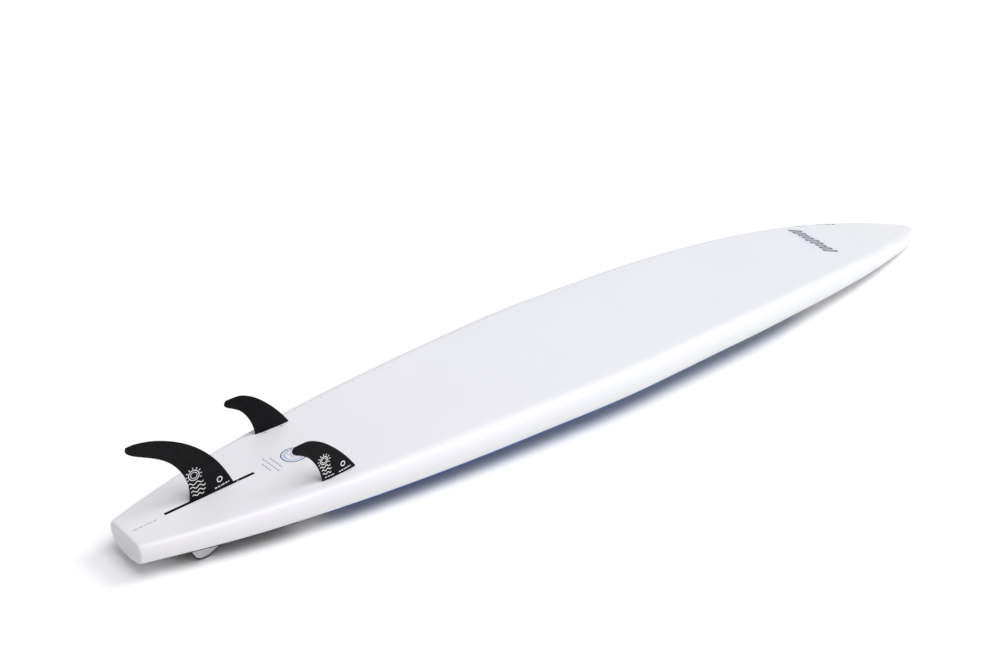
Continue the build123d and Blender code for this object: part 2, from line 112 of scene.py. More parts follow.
def size_at(s, d=0.0):
    """Half width, bottom height, deck height, rail sizes, dome and apex drop, set in by d."""
    w, t, zb = at(W_T, s) - d, at(T_T, s), at(Z_T, s) - d
    zt = at(Z_T, s) - t + d
    dome = DOME * (t - 2 * d)
    rail = zb - zt - dome
    rb = min(max(at(RB_T, s) - d, 0.8), 0.9 * w)
    rd = min(max(at(RD_T, s) - d, 0.8), 0.9 * w)
    return w, zb, zt, rb, rd, dome, rail, 0.45 * rail


def deck_z(s, y=0.0):
    w, zb, zt, rb, rd, dome, rail, ha = size_at(s)
    return zt + dome * min(abs(y) / max(w - rd, 1.0), 1.0) ** 2


def deck_wrap(s, y):
    """Point on the deck's cross-section, rail included, and its outward normal, as (y, z)."""
    w, zb, zt, rb, rd, dome, rail, ha = size_at(s)

    def z_of(v):
        q = min(max((abs(v) - (w - rd)) / rd, 0.0), 0.995)
        if q <= 0:
            return zt + dome * (abs(v) / max(w - rd, 1.0)) ** 2
        return zb - ha - (rail - ha) * (1 - q ** 2.1) ** (1 / 2.1)
    z, dz = z_of(y), z_of(y + 0.5) - z_of(y - 0.5)
    n = Vector((dz, -1.0)).normalized()
    return z, n


def bottom_z(s, y=0.0):
    w, zb, zt, rb, rd, dome, rail, ha = size_at(s)
    q = min(max((abs(y) - (w - rb)) / rb, 0.0), 0.999)
    return zb - ha * (1 - (1 - q ** 2.24) ** (1 / 2.24))


NA, NF = 15, 12


def row(deck, s, d, lam):
    w, zb, zt, rb, rd, dome, rail, ha = size_at(s, d)
    half = []
    if not deck:
        for k in range(NF + 1):
            half.append(((w - rb) * k / NF, zb))
        for i in range(1, NA + 1):
            a = math.pi / 2 * i / NA
            half.append((w - rb + rb * math.sin(a) ** (2 / 2.24),
                         zb - ha * (1 - max(math.cos(a), 0.0) ** (2 / 2.24))))
    else:
        for k in range(NF + 1):
            half.append(((w - rd) * k / NF, zt + dome * (k / NF) ** 2))
        for i in range(NA - 1, -1, -1):
            a = math.pi / 2 * i / NA
            half.append((w - rd + rd * max(math.cos(a), 0.0) ** (2 / 2.1),
                         zb - ha - (rail - ha) * math.sin(a) ** (2 / 2.1)))
    seam = zb - ha
    half = [(y, seam + lam * (z - seam)) for y, z in half]
    line = [(-y, z) for y, z in reversed(half)] + half[1:]
    return [(s - MID, y, z) for y, z in line]


TAIL_R, NOSE_R = 5.0, 12.0


def stations():
    out = [(0.0, TAIL_R, 0.0), (0.0, TAIL_R, 0.45), (0.0, TAIL_R, 0.8)]
    for k in range(7):
        a = math.pi / 2 * k / 6
        out.append((TAIL_R - TAIL_R * math.cos(a), TAIL_R - TAIL_R * math.sin(a), 1.0))
    n = 230
    lo, hi = TAIL_R, TIP - NOSE_R
    for k in range(1, n):
        u = k / n
        u = u + 0.06 * math.sin(2 * math.pi * u) / (2 * math.pi) * -1
        out.append((lo + (hi - lo) * u, 0.0, 1.0))
    for k in range(9):
        a = math.pi / 2 * (1 - k / 8)
        out.append((hi + NOSE_R * math.cos(a), NOSE_R - NOSE_R * math.sin(a), 1.0))
    out += [(TIP, NOSE_R, 0.5), (TIP, NOSE_R, 0.0)]
    return out


def hull_shell(name, deck):
    """Closed shell of the bottom or the deck, from the seam on one rail to the other."""
    outer, inner = [], []
    for s, d, lam in stations():
        outer.append(row(deck, s, d, lam))
        q = s
        if s < 20:
            q = 3 + s / 20 * 17
        if s > TIP - 30:
            q = TIP - 30 + (s - (TIP - 30)) * 15 / 30
        inner.append(row(deck, q, SKIN, lam))
    r, c = len(outer), len(outer[0])
    vs = [p for line in outer for p in line] + [p for line in inner for p in line]
    o = r * c
    faces = []
    for i in range(r - 1):
        for j in range(c - 1):
            a = i * c + j
            faces.append((a, a + 1, a + c + 1, a + c))
            faces.append((o + a, o + a + c, o + a + c + 1, o + a + 1))
    edge = [j for j in range(c)] + [i * c + c - 1 for i in range(1, r)]
    edge += [(r - 1) * c + j for j in range(c - 2, -1, -1)] + [i * c for i in range(r - 2, 0, -1)]
    for k in range(len(edge)):
        a, b = edge[k], edge[(k + 1) % len(edge)]
        faces.append((b, a, o + a, o + b))
    return mesh_object(name, vs, faces)


# ------------------------------------------------------------ mesh utilities
def mesh_object(name, vs, faces, scale=0.001, merge=0.0):
    me = bpy.data.meshes.new(name)
    me.from_pydata([(x * scale, y * scale, z * scale) for x, y, z in vs], [], faces)
    bm = bmesh.new()
    bm.from_mesh(me)
    if merge:
        bmesh.ops.remove_doubles(bm, verts=bm.verts, dist=merge)
    bmesh.ops.recalc_face_normals(bm, faces=bm.faces)
    if merge == 0.0 and bm.calc_volume(signed=True) < 0:
        bmesh.ops.reverse_faces(bm, faces=bm.faces)
    bm.to_mesh(me)
    loose = [v for v in bm.verts if not v.link_faces]
    if loose:
        bmesh.ops.delete(bm, geom=loose, context="VERTS")
        bm.to_mesh(me)
    bm.free()
    ob = bpy.data.objects.new(name, me)
    bpy.context.scene.collection.objects.link(ob)
    return ob


def smooth_shade(ob, angle=35.0):
    for p in ob.data.polygons:
        p.use_smooth = True
    ob.data.set_sharp_from_angle(angle=math.radians(angle))
    return ob


def settle(ob):
    """Applies the modifiers."""
    dg = bpy.context.evaluated_depsgraph_get()
    me = bpy.data.meshes.new_from_object(ob.evaluated_get(dg))
    old = ob.data
    ob.modifiers.clear()
    ob.data = me
    me.name = ob.name
    bpy.data.meshes.remove(old)
    return ob


def plane(origin, x_dir, z_dir):
    """A local plane as a matrix, in millimetres."""
    z = Vector(z_dir).normalized()
    x = Vector(x_dir)
    x = (x - z * x.dot(z)).normalized()
    y = z.cross(x)
    m = Matrix.Identity(4)
    for i in range(3):
        m[i][0], m[i][1], m[i][2], m[i][3] = x[i], y[i], z[i], origin[i]
    return m


FIN_BOX = plane((-1664, 0, 116.319), (0.998316, 0, 0.058003), (-0.058003, 0, 0.998316))
SIDE = {"left": plane((-1372.25, -160.75, 131.752), (0.998591, 0.022799, 0.047915), (-0.047928, 0, 0.998851)),
        "right": plane((-1372.25, 160.75, 131.752), (0.998591, -0.022799, 0.047915), (-0.047928, 0, 0.998851))}
LEASH = plane((-1847.5, 0, 30.8966), (0.999998, 0, -0.001746), (-0.001746, 0, -0.999998))
VENT = plane((956.5, 0, 44.7731), (0.999519, 0, -0.031003), (-0.031003, 0, -0.999519))
HANDLE = plane((-53.5, 0, 54.0508), (0.99992, 0, 0.012652), (0.012652, 0, -0.99992))


def rrect(l, w, r, n=8, cx=0.0, cy=0.0):
    pts = []
    for qx, qy, a0 in ((1, 1, 0), (-1, 1, 90), (-1, -1, 180), (1, -1, 270)):
        for k in range(n + 1):
            a = math.radians(a0 + 90 * k / n)
            pts.append((cx + qx * (l / 2 - r) + r * math.cos(a), cy + qy * (w / 2 - r) + r * math.sin(a)))
    return pts


def circle(r, n=48, cx=0.0, cy=0.0):
    return [(cx + r * math.cos(2 * math.pi * k / n), cy + r * math.sin(2 * math.pi * k / n)) for k in range(n)]


def prism(name, pts, pl, w0, w1):
    n = len(pts)
    vs = [pl @ Vector((x, y, w0)) for x, y in pts] + [pl @ Vector((x, y, w1)) for x, y in pts]
    faces = [tuple(reversed(range(n))), tuple(range(n, 2 * n))]
    faces += [(k, (k + 1) % n, n + (k + 1) % n, n + k) for k in range(n)]
    return mesh_object(name, [tuple(v) for v in vs], faces)


def cut(ob, cutters):
    for c in cutters:
        m = ob.modifiers.new("cut", "BOOLEAN")
        m.operation, m.solver, m.object = "DIFFERENCE", "EXACT", c
    settle(ob)
    for c in cutters:
        me = c.data
        bpy.data.objects.remove(c)
        bpy.data.meshes.remove(me)
    return ob


def rings(name, loops, closed_ends=True, pl=None):
    """Closed lofted solid through loops of equal length, each a list of 3D points."""
    n = len(loops[0])
    vs, faces = [], []
    for loop in loops:
        vs += [tuple((pl @ Vector(p)) if pl else p) for p in loop]
    for i in range(len(loops) - 1):
        for k in range(n):
            a, b = i * n + k, i * n + (k + 1) % n
            faces.append((a, b, b + n, a + n))
    if closed_ends:
        faces.append(tuple(reversed(range(n))))
        faces.append(tuple(range((len(loops) - 1) * n, len(loops) * n)))
    else:
        m = (len(loops) - 1) * n
        for k in range(n):
            faces.append((m + k, m + (k + 1) % n, (k + 1) % n, k))
    return mesh_object(name, vs, faces)


# ---------------------------------------------------------------- materials
def nd(nt, kind, **inputs):
    n = nt.nodes.new(kind)
    for k, v in inputs.items():
        if k in n.inputs:
            n.inputs[k].default_value = v
        else:
            setattr(n, k, v)
    return n


def shade(name, base, second, rough=(0.4, 0.5), scale=60.0, bump=0.1, bump_scale=200.0,
          metallic=0.0, specular=0.5, coat=0.0, coat_rough=0.1, wear=None, wear_amount=0.5,
          sheen=0.0, stretch=(1, 1, 1), kind="noise", detail=4.0, distance=0.0005):
    """Procedural surface: two colours mixed by noise, edge wear by pointiness, roughness and bump by noise."""
    m = bpy.data.materials.new(name)
    m.use_nodes = True
    nt = m.node_tree
    nt.nodes.clear()
    out = nd(nt, "ShaderNodeOutputMaterial")
    bs = nd(nt, "ShaderNodeBsdfPrincipled")
    nt.links.new(bs.outputs["BSDF"], out.inputs["Surface"])
    bs.inputs["Metallic"].default_value = metallic
    bs.inputs["Specular IOR Level"].default_value = specular
    bs.inputs["Coat Weight"].default_value = coat
    bs.inputs["Coat Roughness"].default_value = coat_rough
    if sheen:
        bs.inputs["Sheen Weight"].default_value = sheen
        bs.inputs["Sheen Roughness"].default_value = 0.5
    tc = nd(nt, "ShaderNodeTexCoord")
    mp = nd(nt, "ShaderNodeMapping")
    mp.inputs["Scale"].default_value = stretch
    nt.links.new(tc.outputs["Object"], mp.inputs["Vector"])
    big = nd(nt, "ShaderNodeTexNoise", Scale=scale, Detail=detail, Roughness=0.55)
    nt.links.new(mp.outputs["Vector"], big.inputs["Vector"])
    mix = nd(nt, "ShaderNodeMix", data_type="RGBA")
    for sock in mix.inputs:
        if sock.type == "RGBA" and sock.name == "A":
            sock.default_value = (*base, 1)
        if sock.type == "RGBA" and sock.name == "B":
            sock.default_value = (*second, 1)
    ramp = nd(nt, "ShaderNodeMapRange")
    ramp.inputs["From Min"].default_value = 0.35
    ramp.inputs["From Max"].default_value = 0.68
    nt.links.new(big.outputs["Fac"], ramp.inputs["Value"])
    nt.links.new(ramp.outputs["Result"], mix.inputs["Factor"])
    colour = [s for s in mix.outputs if s.type == "RGBA"][0]
    if wear is not None:
        geo = nd(nt, "ShaderNodeNewGeometry")
        wr = nd(nt, "ShaderNodeMapRange")
        wr.inputs["From Min"].default_value = 0.53
        wr.inputs["From Max"].default_value = 0.62
        wr.inputs["To Max"].default_value = wear_amount
        nt.links.new(geo.outputs["Pointiness"], wr.inputs["Value"])
        scr = nd(nt, "ShaderNodeTexNoise", Scale=bump_scale * 0.6, Detail=3.0)
        nt.links.new(mp.outputs["Vector"], scr.inputs["Vector"])
        mul = nd(nt, "ShaderNodeMath", operation="MULTIPLY")
        nt.links.new(wr.outputs["Result"], mul.inputs[0])
        nt.links.new(scr.outputs["Fac"], mul.inputs[1])
        mx = nd(nt, "ShaderNodeMix", data_type="RGBA")
        for sock in mx.inputs:
            if sock.type == "RGBA" and sock.name == "B":
                sock.default_value = (*wear, 1)
        nt.links.new(mul.outputs["Value"], mx.inputs["Factor"])
        nt.links.new(colour, [s for s in mx.inputs if s.type == "RGBA" and s.name == "A"][0])
        colour = [s for s in mx.outputs if s.type == "RGBA"][0]
    nt.links.new(colour, bs.inputs["Base Color"])
    rr = nd(nt, "ShaderNodeMapRange")
    rr.inputs["To Min"].default_value, rr.inputs["To Max"].default_value = rough
    rn = nd(nt, "ShaderNodeTexNoise", Scale=scale * 2.7, Detail=5.0)
    nt.links.new(mp.outputs["Vector"], rn.inputs["Vector"])
    nt.links.new(rn.outputs["Fac"], rr.inputs["Value"])
    nt.links.new(rr.outputs["Result"], bs.inputs["Roughness"])
    if bump:
        if kind == "noise":
            bn = nd(nt, "ShaderNodeTexNoise", Scale=bump_scale, Detail=4.0)
            height = bn.outputs["Fac"]
        else:
            bn = nd(nt, "ShaderNodeTexVoronoi", Scale=bump_scale)
            height = bn.outputs["Distance"]
        nt.links.new(mp.outputs["Vector"], bn.inputs["Vector"])
        b = nd(nt, "ShaderNodeBump")
        b.inputs["Strength"].default_value = bump
        b.inputs["Distance"].default_value = distance
        nt.links.new(height, b.inputs["Height"])
        nt.links.new(b.outputs["Normal"], bs.inputs["Normal"])
    return m


def along_x(m, stops):
    """Multiplies a material's colour by a gradient along the board, given as (x, colour) stops."""
    nt = m.node_tree
    bs = next(n for n in nt.nodes if n.type == "BSDF_PRINCIPLED")
    src = bs.inputs["Base Color"].links[0].from_socket
    tc = nd(nt, "ShaderNodeTexCoord")
    sep = nd(nt, "ShaderNodeSeparateXYZ")
    nt.links.new(tc.outputs["Object"], sep.inputs["Vector"])
    x0, x1 = stops[0][0], stops[-1][0]
    mr = nd(nt, "ShaderNodeMapRange")
    mr.inputs["From Min"].default_value, mr.inputs["From Max"].default_value = x0, x1
    nt.links.new(sep.outputs["X"], mr.inputs["Value"])
    cr = nd(nt, "ShaderNodeValToRGB")
    el = cr.color_ramp.elements
    for k, (x, c) in enumerate(stops):
        pos = (x - x0) / (x1 - x0)
        e = el[k] if k < 2 else el.new(pos)
        e.position = pos
        e.color = (*c, 1)
    nt.links.new(mr.outputs["Result"], cr.inputs["Fac"])
    mx = nd(nt, "ShaderNodeMix", data_type="RGBA", blend_type="MULTIPLY")
    mx.inputs["Factor"].default_value = 1.0
    a = [s for s in mx.inputs if s.type == "RGBA" and s.name == "A"][0]
    b = [s for s in mx.inputs if s.type == "RGBA" and s.name == "B"][0]
    nt.links.new(src, a)
    nt.links.new(cr.outputs["Color"], b)
    nt.links.new([s for s in mx.outputs if s.type == "RGBA"][0], bs.inputs["Base Color"])
    return m


M = {}
M["hull_white"] = shade("hull_white", (0.81, 0.81, 0.82), (0.795, 0.797, 0.81), (0.34, 0.44), 3.0, 0.03, 900.0,
                        specular=0.35, coat=0.12, coat_rough=0.22, wear=(0.6, 0.6, 0.58), wear_amount=0.25)
# Painted tint and shade: the pinkish, darker tail and the bluish middle of the bottom stand in for coloured light and
# reflections on the white hull.
along_x(M["hull_white"], [(-1.9035, (0.935, 0.912, 0.93)), (-1.4, (0.945, 0.925, 0.945)), (-0.8, (0.968, 0.968, 0.99)),
                          (0.1, (0.972, 0.982, 1.0)), (1.0, (0.972, 0.982, 1.0)), (1.9035, (0.955, 0.955, 0.957))])
M["hull_deck"] = shade("hull_deck", (0.81, 0.81, 0.813), (0.795, 0.797, 0.80), (0.34, 0.44), 3.0, 0.03, 900.0,
                       specular=0.35, coat=0.12, coat_rough=0.22, wear=(0.6, 0.6, 0.58), wear_amount=0.25)
# Painted tint and shade: the warm middle and the pinkish, darker tail of the deck and its rails stand in for warm front
# light and reflections on the white hull.
along_x(M["hull_deck"], [(-1.9035, (0.935, 0.918, 0.925)), (-1.4, (0.955, 0.945, 0.945)), (-0.8, (0.975, 0.972, 0.965)),
                         (0.1, (0.98, 0.98, 0.972)), (1.0, (0.975, 0.978, 0.975)), (1.9035, (0.955, 0.955, 0.957))])
M["foam"] = shade("foam", (0.86, 0.86, 0.83), (0.80, 0.80, 0.77), (0.85, 0.95), 120.0, 0.5, 420.0, specular=0.2, kind="voronoi")
M["stringer_wood"] = shade("stringer_wood", (0.62, 0.44, 0.25), (0.46, 0.30, 0.16), (0.55, 0.7), 40.0, 0.25, 160.0,
                           specular=0.3, stretch=(0.05, 1.0, 1.0))
M["sandwich_panel"] = shade("sandwich_panel", (0.78, 0.72, 0.55), (0.70, 0.64, 0.48), (0.7, 0.85), 60.0, 0.35, 500.0, specular=0.25)
M["fin_box_white"] = shade("fin_box", (0.018, 0.018, 0.020), (0.030, 0.030, 0.033), (0.35, 0.5), 150.0, 0.12, 1400.0,
                           specular=0.3, wear=(0.10, 0.10, 0.11))
M["dense_foam"] = shade("dense_foam", (0.80, 0.73, 0.55), (0.74, 0.66, 0.48), (0.85, 0.95), 90.0, 0.4, 600.0, specular=0.2, kind="voronoi")
M["plug_white"] = shade("plug_white", (0.74, 0.75, 0.78), (0.68, 0.69, 0.72), (0.3, 0.42), 220.0, 0.08, 1600.0,
                        wear=(0.5, 0.5, 0.5), wear_amount=0.4)
M["dark_steel"] = shade("dark_steel", (0.10, 0.10, 0.11), (0.16, 0.16, 0.17), (0.28, 0.45), 700.0, 0.2, 2500.0, metallic=1.0, wear=(0.45, 0.45, 0.46))
M["fitting_black"] = shade("fitting_black", (0.02, 0.02, 0.022), (0.035, 0.035, 0.038), (0.45, 0.6), 160.0, 0.25, 1500.0,
                           specular=0.3, wear=(0.12, 0.12, 0.12))
M["steel"] = shade("steel", (0.58, 0.58, 0.60), (0.48, 0.48, 0.50), (0.22, 0.38), 500.0, 0.15, 2600.0, metallic=1.0,
                   stretch=(0.2, 1, 1), wear=(0.75, 0.75, 0.76))
M["seal_rubber"] = shade("seal_rubber", (0.015, 0.015, 0.015), (0.03, 0.03, 0.03), (0.6, 0.75), 400.0, 0.2, 2000.0, specular=0.25, wear=(0.06, 0.06, 0.06))
M["membrane"] = shade("membrane", (0.82, 0.82, 0.82), (0.74, 0.74, 0.74), (0.85, 0.95), 900.0, 0.5, 4000.0, specular=0.2, kind="voronoi")
M["grip_rubber"] = shade("grip_rubber", (0.022, 0.022, 0.024), (0.038, 0.038, 0.040), (0.6, 0.8), 180.0, 0.5, 900.0,
                         specular=0.25, kind="voronoi", wear=(0.09, 0.09, 0.09))
M["pad_blue"] = shade("pad_blue", (0.90, 0.90, 0.90), (1.0, 1.0, 1.0), (0.75, 0.9), 300.0, 0.45, 1300.0,
                      specular=0.25, sheen=0.15, kind="voronoi", wear=(1.3, 1.3, 1.3), wear_amount=0.4)
along_x(M["pad_blue"], [(-1.42, (0.03, 0.085, 0.34)), (-1.0, (0.04, 0.11, 0.38)), (-0.2, (0.09, 0.18, 0.42)),
                        (0.4, (0.19, 0.26, 0.42)), (0.86, (0.30, 0.34, 0.42))])
M["pad_grey"] = shade("pad_grey", (0.052, 0.054, 0.06), (0.065, 0.068, 0.075), (0.75, 0.9), 300.0, 0.45, 1300.0,
                      specular=0.25, sheen=0.15, kind="voronoi", wear=(0.12, 0.12, 0.13))
M["pad_grey_light"] = shade("pad_grey_light", (0.60, 0.60, 0.60), (0.54, 0.54, 0.545), (0.75, 0.9), 260.0, 0.45, 1200.0,
                            specular=0.25, sheen=0.1, kind="voronoi", wear=(0.42, 0.42, 0.42))
M["fin_black"] = shade("fin_black", (0.0035, 0.0032, 0.004), (0.0065, 0.0060, 0.0070), (0.42, 0.55), 45.0, 0.10, 1500.0,
                       specular=0.10, wear=(0.035, 0.035, 0.037), wear_amount=0.6)
M["brass"] = shade("brass", (0.70, 0.52, 0.22), (0.60, 0.43, 0.17), (0.25, 0.4), 400.0, 0.15, 2200.0, metallic=1.0, wear=(0.85, 0.7, 0.4))
M["mark_navy"] = shade("mark_navy", (0.008, 0.011, 0.040), (0.015, 0.020, 0.062), (0.4, 0.5), 80.0, 0.03, 900.0, specular=0.2)
M["mark_pale"] = shade("mark_pale", (0.58, 0.64, 0.80), (0.66, 0.71, 0.84), (0.3, 0.4), 80.0, 0.03, 900.0, coat=0.2)
M["mark_grey"] = shade("mark_grey", (0.22, 0.27, 0.31), (0.28, 0.33, 0.37), (0.3, 0.4), 120.0, 0.03, 900.0, coat=0.2)
M["mark_slate"] = shade("mark_slate", (0.12, 0.17, 0.28), (0.18, 0.23, 0.35), (0.3, 0.4), 120.0, 0.03, 900.0, coat=0.2)
M["mark_white"] = shade("mark_white", (0.80, 0.80, 0.80), (0.70, 0.70, 0.71), (0.35, 0.5), 300.0, 0.03, 1500.0)
M["pad_cover"] = shade("pad_cover", (0.040, 0.041, 0.045), (0.055, 0.056, 0.061), (0.75, 0.9), 300.0, 0.45, 1300.0,
                       specular=0.25, kind="voronoi", wear=(0.10, 0.10, 0.10))


def dress(ob, mat, body="board"):
    ob.data.materials.clear()
    ob.data.materials.append(M[mat])
    if body:
        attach(ob, body)
    return ob


NODE_MATS = {
    "bottom_skin": "hull_white", "deck_skin": "hull_deck", "foam_core_left": "foam", "foam_core_right": "foam",
    "stringer": "stringer_wood", "deck_panel": "sandwich_panel", "fin_box": "fin_box_white",
    "fin_box_block": "dense_foam", "side_fin_plugs_left": "plug_white", "side_fin_plugs_right": "plug_white",
    "left_front_grub_screw": "dark_steel", "left_rear_grub_screw": "dark_steel",
    "right_front_grub_screw": "dark_steel", "right_rear_grub_screw": "dark_steel",
    "leash_cup": "fitting_black", "leash_pin": "steel", "vent_body": "fitting_black", "vent_screw": "fitting_black",
    "vent_o_ring": "seal_rubber", "vent_membrane": "membrane", "handle_cup": "fitting_black",
    "handle_grip": "grip_rubber", "front_deck_pad": "pad_blue", "tail_pad": "pad_grey", "kick_wedge": "pad_grey_light",
    "centre_fin": "fin_black", "side_fin_left": "fin_black", "side_fin_right": "fin_black",
    "fin_roller_pin": "brass", "fin_plate_nut": "steel", "fin_screw": "steel",
}
for name, ob in nodes.items():
    ob.data.materials.clear()
    ob.data.materials.append(M[NODE_MATS[name]])

# --------------------------------------------------------------- hull pieces
bottom = hull_shell("hull_bottom", False)
cutters = [prism("c0", rrect(273.0, 26.0, 6.0), FIN_BOX, -8, 8)]
for tag in ("left", "right"):
    for u in (503 - 531.25, 556 - 531.25):
        cutters.append(prism("c_" + tag, circle(14.02, 64, u, 0.0), SIDE[tag], -8, 8))
cut(bottom, cutters)
smooth_shade(bottom)
dress(bottom, "hull_white")
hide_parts("bottom_skin")

deck = hull_shell("hull_deck", True)
cut(deck, [prism("c1", circle(17.02, 64), LEASH, -8, 8), prism("c2", circle(18.02, 64), VENT, -8, 8),
           prism("c3", rrect(216.05, 128.05, 34.0, 12), HANDLE, -8, 8)])
smooth_shade(deck)
dress(deck, "hull_deck")
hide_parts("deck_skin")

# Thin white rim round the fin box's slot.
rim_out, rim_in = (275.0, 28.0, 7.0), (262.3, 10.2, 0.9)
loops = []
for l, w, r, z in ((rim_out[0], rim_out[1], rim_out[2], -0.3), (rim_out[0], rim_out[1], rim_out[2], 0.12),
                   (rim_out[0] - 0.9, rim_out[1] - 0.9, rim_out[2] - 0.4, 0.40),
                   (rim_in[0] + 0.9, rim_in[1] + 0.9, rim_in[2] + 0.4, 0.40), (rim_in[0], rim_in[1], rim_in[2], 0.26),
                   (rim_in[0], rim_in[1], rim_in[2], -0.3)):
    loops.append([(x, y, z) for x, y in rrect(l, w, r, 8)])
rim = smooth_shade(rings("fin_box_rim", loops, False, FIN_BOX), 30)
dress(rim, "hull_white")


# --------------------------------------------------------------------- pads
def pad_piece(name, s0, s1, half, grooves, nose_round, mat, slot, node, thick=PAD, lines=0.9, hole=None):
    r = 1.8
    ss, hs = [s0, s0], [0.0, thick - r]
    for k in range(1, 4):
        a = math.pi / 2 * k / 3
        ss.append(s0 + r * (1 - math.cos(a)))
        hs.append(thick - r + r * math.sin(a))
    if nose_round:
        mid = s1 - nose_round
        n = int((mid - s0) / 16)
        for k in range(1, n + 1):
            ss.append(s0 + r + (mid - s0 - r) * k / n)
            hs.append(thick)
        for k in range(1, 34):
            a = math.pi / 2 * k / 34
            ss.append(mid + nose_round * math.sin(a))
            hs.append(thick)
    else:
        n = int((s1 - s0) / 8)
        for k in range(1, n):
            ss.append(s0 + r + (s1 - s0 - 2 * r) * k / n)
            hs.append(thick)
        for k in range(3, -1, -1):
            a = math.pi / 2 * k / 3
            ss.append(s1 - r * (1 - math.cos(a)))
            hs.append(thick - r + r * math.sin(a))
        ss.append(s1)
        hs.append(0.0)
    cols = []          # (share of inner half width, mm beyond it, height limit, groove depth)
    for g in range(grooves):
        u = -0.94 + 1.88 * g / (grooves - 1)
        for du, dep in ((-1.3, 0.0), (-0.7, lines), (0.7, lines), (1.3, 0.0)):
            cols.append((u, du, thick, dep))
    edge = [(-1.0, 0.0, thick, 0.0)]
    for k in range(1, 4):
        a = math.pi / 2 * k / 3
        edge.append((-1.0, -r * math.sin(a), thick - r + r * math.cos(a), 0.0))
    edge.append((-1.0, -r, 0.0, 0.0))
    cols = list(reversed(edge)) + cols + [(1.0, -d, h, g) for u, d, h, g in edge]
    top, low = [], []
    for s, hrow in zip(ss, hs):
        w = half(s)
        fade = min(max((s - s0 - 14) / 10, 0.0), 1.0)
        if nose_round and s > s1 - nose_round:
            k = min((s - (s1 - nose_round)) / nose_round, 0.998)
            w *= (1 - k ** 2.6) ** (1 / 2.6)
            fade *= min(max((s1 - 24 - s) / 60, 0.0), 1.0)
        elif not nose_round:
            fade *= min(max((s1 - 14 - s) / 10, 0.0), 1.0)
        room = min(1.0, 1.88 * max(w - r, 1.0) / (grooves - 1) * 0.3 / 1.3)
        for u, d, h, g in cols:
            y = u * max(w - r, 1.0) + d * (room if abs(u) < 0.99 else 1.0)
            z, nn = deck_wrap(s, y)
            k = min(h, hrow) - g * fade * (1 if w > 60 else 0)
            top.append((s - MID, y + nn[0] * k, z + nn[1] * k))
            low.append((s - MID, y - nn[0] * 0.1, z - nn[1] * 0.1))
    n, c = len(ss), len(cols)
    vs = top + low
    o = n * c
    faces = []

    def kept(i, j):
        """False for the cells inside the opening (centre, half length, half width)."""
        if hole is None:
            return True
        x = (top[i * c + j][0] + top[(i + 1) * c + j][0]) / 2 + MID
        y = (top[i * c + j][1] + top[i * c + j + 1][1]) / 2
        return abs(x - hole[0]) > hole[1] or abs(y) > hole[2]

    for i in range(n - 1):
        for j in range(c - 1):
            a = i * c + j
            if not kept(i, j):
                continue
            faces.append((a, a + 1, a + c + 1, a + c))
            faces.append((o + a, o + a + c, o + a + c + 1, o + a + 1))
            if 0 < i < n - 2 and 0 < j < c - 2:
                for di, dj, p0, p1 in ((-1, 0, a, a + 1), (1, 0, a + c + 1, a + c), (0, -1, a + c, a), (0, 1, a + 1, a + c + 1)):
                    if not kept(i + di, j + dj):
                        faces.append((p1, p0, o + p0, o + p1))
    loop = [j for j in range(c)] + [i * c + c - 1 for i in range(1, n)]
    loop += [(n - 1) * c + j for j in range(c - 2, -1, -1)] + [i * c for i in range(n - 2, 0, -1)]
    for k in range(len(loop)):
        a, b = loop[k], loop[(k + 1) % len(loop)]
        faces.append((b, a, o + a, o + b))
    ob = mesh_object(name, vs, faces)
    return ob


def front_half(s):
    return half_width(s) - 31.0


front = pad_piece("deck_pad_front", 484.0, 2750.0, front_half, 42, 420.0, "pad_blue", "pad_blue", "front_deck_pad",
                  hole=(1850.0, 115.0, 69.0))
smooth_shade(front, 32)
dress(front, "pad_blue")
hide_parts("front_deck_pad")

tail = pad_piece("deck_pad_tail", 92.0, 395.0, front_half, 26, 0.0, "pad_grey", "pad_grey", "tail_pad")
smooth_shade(tail, 32)
dress(tail, "pad_grey")
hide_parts("tail_pad")

# Kick wedge: a light foam block with a thin dark cover over its outer faces.
KH = 92.0


def deck_line(s, y=0.0):
    return deck_z(s, y) - PAD


def kick_profile(off, y):
    """Outer line of the wedge, from the rear foot to the front one, set in by off."""
    pts = [(124.0, None), (138.0, 7.5), (150.0, 0.0), (172.0, 0.0), (240.0, None)]
    line = []
    for s, z in pts:
        line.append((s, deck_line(s, y) + 1.5 if z is None else z))
    dense = []
    corner = {1: 1.6, 2: 2.4, 3: 2.6}
    for i, (s, z) in enumerate(line):
        if i in corner:
            a, b = Vector(line[i - 1]), Vector(line[i + 1])
            p = Vector((s, z))
            r = corner[i]
            e0, e1 = p + (a - p).normalized() * r, p + (b - p).normalized() * r
            for k in range(7):
                t = k / 6
                dense.append((e0 * (1 - t) ** 2 + p * 2 * t * (1 - t) + e1 * t * t)[:])
        else:
            dense.append((s, z))
    return [(x, z + off) for x, z in dense]


def kick_piece(name, outer_off, inner_off, half, steps):
    loops = []
    ys = [(-half, 1.6), (-half + 0.5, 0.5), (-half + 1.6, 0.0)]
    ys += [(-half + 1.6 + (2 * half - 3.2) * k / steps, 0.0) for k in range(1, steps)]
    ys += [(half - 1.6, 0.0), (half - 0.5, 0.5), (half, 1.6)]
    for y, chamfer in ys:
        up = kick_profile(outer_off + chamfer, y)
        if inner_off is None:
            back = [(s, deck_line(s, y) + 0.6) for s, z in reversed(up)]
        else:
            back = list(reversed(kick_profile(inner_off, y)))
        loops.append([(s - MID, y, z) for s, z in up + back])
    return smooth_shade(rings(name, loops, True), 40)


core = kick_piece("kick_block", 4.0, None, KH - 0.4, 14)
dress(core, "pad_grey_light")
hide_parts("kick_wedge")
cover = kick_piece("kick_cover", 0.02, 4.05, KH, 14)
dress(cover, "pad_cover")


